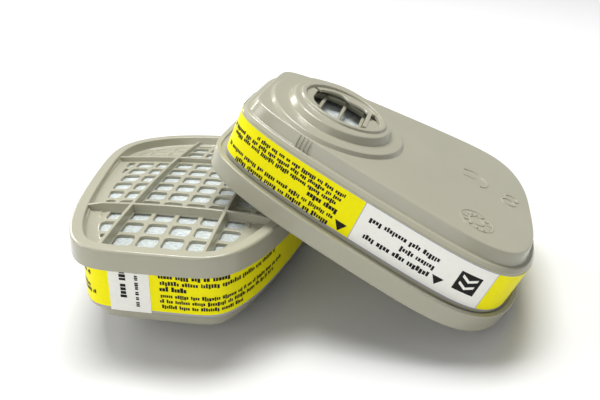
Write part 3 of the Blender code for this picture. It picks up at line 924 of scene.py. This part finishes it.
def build():
    """Every visible piece of both cartridges."""
    materials = {
        "plastic": plastic_material(),
        "yellow": paper_material("label_yellow", (0.95, 0.87, 0.002)),
        "panel": paper_material("label_white", (0.90, 0.90, 0.84)),
        "sticker": paper_material("sticker_white", (0.86, 0.86, 0.80)),
        "edge": paper_material("label_edge", (0.36, 0.36, 0.52)),
        "ink": ink_material(),
        "felt": felt_material(),
        "carbon": carbon_material(),
    }
    shell = shell_mesh()
    cover, floor = cover_mesh()
    grid = make_mesh("support_grid", support_grid_parts())
    inlet = make_mesh("inlet_felt", inlet_felt_parts())
    outlet = make_mesh("outlet_felt", outlet_felt_parts())
    paper = []
    for name, parts, key in label_pieces():
        paper.append((name, make_mesh(name, parts, outward=name == "label_band"), key))
    sticker = make_mesh("lot_sticker", sticker_parts())
    sticker_ink = make_mesh("sticker_print", sticker_print(), outward=False)
    plastic, white, pad = materials["plastic"], materials["sticker"], materials["felt"]
    for cartridge in ("lower", "upper"):
        matrix = cartridge_matrix(cartridge)
        place_piece(cartridge, "shell", shell, plastic, matrix, "shell", True)
        place_piece(cartridge, "cover", cover, plastic, matrix, "grille_cover", True)
        place_piece(cartridge, "floor", floor, plastic, matrix)
        place_piece(cartridge, "grid", grid, plastic, matrix, "support_grid")
        for name, mesh, key in paper:
            node = "label_band" if name == "label_band" else None
            place_piece(cartridge, name, mesh, materials[key], matrix, node)
        place_piece(cartridge, "lot_sticker", sticker, white, matrix, "lot_sticker")
        place_piece(cartridge, "sticker_print", sticker_ink, materials["ink"], matrix)
        felt = place_piece(cartridge, "inlet_felt", inlet, pad, matrix, "inlet_felt")
        back = place_piece(cartridge, "outlet_felt", outlet, pad, matrix, "outlet_felt")
        bed = frame["nodes"][cartridge + "_carbon_bed"]
        bed.data.materials.clear()
        bed.data.materials.append(materials["carbon"])


# ---------------------------------------------------------------- studio

def floor_material():
    material, _, shader, _ = shader_tree("floor")
    shader.inputs["Base Color"].default_value = (0.70, 0.70, 0.70, 1.0)
    shader.inputs["Roughness"].default_value = 0.8
    return material


def softbox(name, position, target, size, power):
    """A plain white rectangular light aimed at a target, in metres and watts."""
    data = bpy.data.lights.new(name, "AREA")
    data.shape = "RECTANGLE"
    data.size, data.size_y = size
    data.energy = power
    light = bpy.data.objects.new(name, data)
    bpy.context.scene.collection.objects.link(light)
    light.location = position
    light.rotation_euler = (Vector(target) - Vector(position)).to_track_quat("-Z", "Y").to_euler()


def studio():
    """A plain pale floor, an even world and four softboxes."""
    mesh = bpy.data.meshes.new("floor")
    side = 3.0
    corners = [(-side, -side, 0), (side, -side, 0), (side, side, 0), (-side, side, 0)]
    mesh.from_pydata(corners, [], [(0, 1, 2, 3)])
    mesh.materials.append(floor_material())
    ground = bpy.data.objects.new("floor", mesh)
    bpy.context.scene.collection.objects.link(ground)
    ground.location.z = -0.0003
    world = bpy.data.worlds.new("studio")
    world.use_nodes = True
    world.node_tree.nodes["Background"].inputs["Color"].default_value = (1.0, 1.0, 1.0, 1.0)
    world.node_tree.nodes["Background"].inputs["Strength"].default_value = 0.25
    bpy.context.scene.world = world
    middle = (0.0, 0.0, 0.03)
    softbox("top", (-0.05, 0.25, 0.87), middle, (0.6, 0.3), 10.4)
    softbox("left", (-0.85, 0.0, 0.36), middle, (0.3, 0.5), 1.9)
    softbox("back left", (-0.67, 0.70, 0.40), middle, (0.34, 0.36), 3.0)
    softbox("front", (-0.45, -0.90, 0.46), middle, (1.2, 0.6), 4.0)
    bpy.context.scene.view_settings.view_transform = "Standard"


def camera():
    """The photo's view, from in front and above; angles in degrees and place in metres."""
    data = bpy.data.cameras.new("camera")
    data.sensor_width = 36.0
    data.lens = 38.36
    data.clip_start = 0.01
    data.clip_end = 20.0
    eye = bpy.data.objects.new("camera", data)
    bpy.context.scene.collection.objects.link(eye)
    heading, elevation, roll = 0.7352, 27.5913, -1.5871
    turn = Matrix.Rotation(math.radians(heading), 4, "Z")
    turn = turn @ Matrix.Rotation(math.radians(90.0 - elevation), 4, "X")
    turn = turn @ Matrix.Rotation(math.radians(roll), 4, "Z")
    eye.matrix_world = Matrix.Translation((0.00064, -0.19708, 0.1258)) @ turn
    bpy.context.scene.camera = eye


camera()
studio()
build()
bpy.context.view_layer.update()
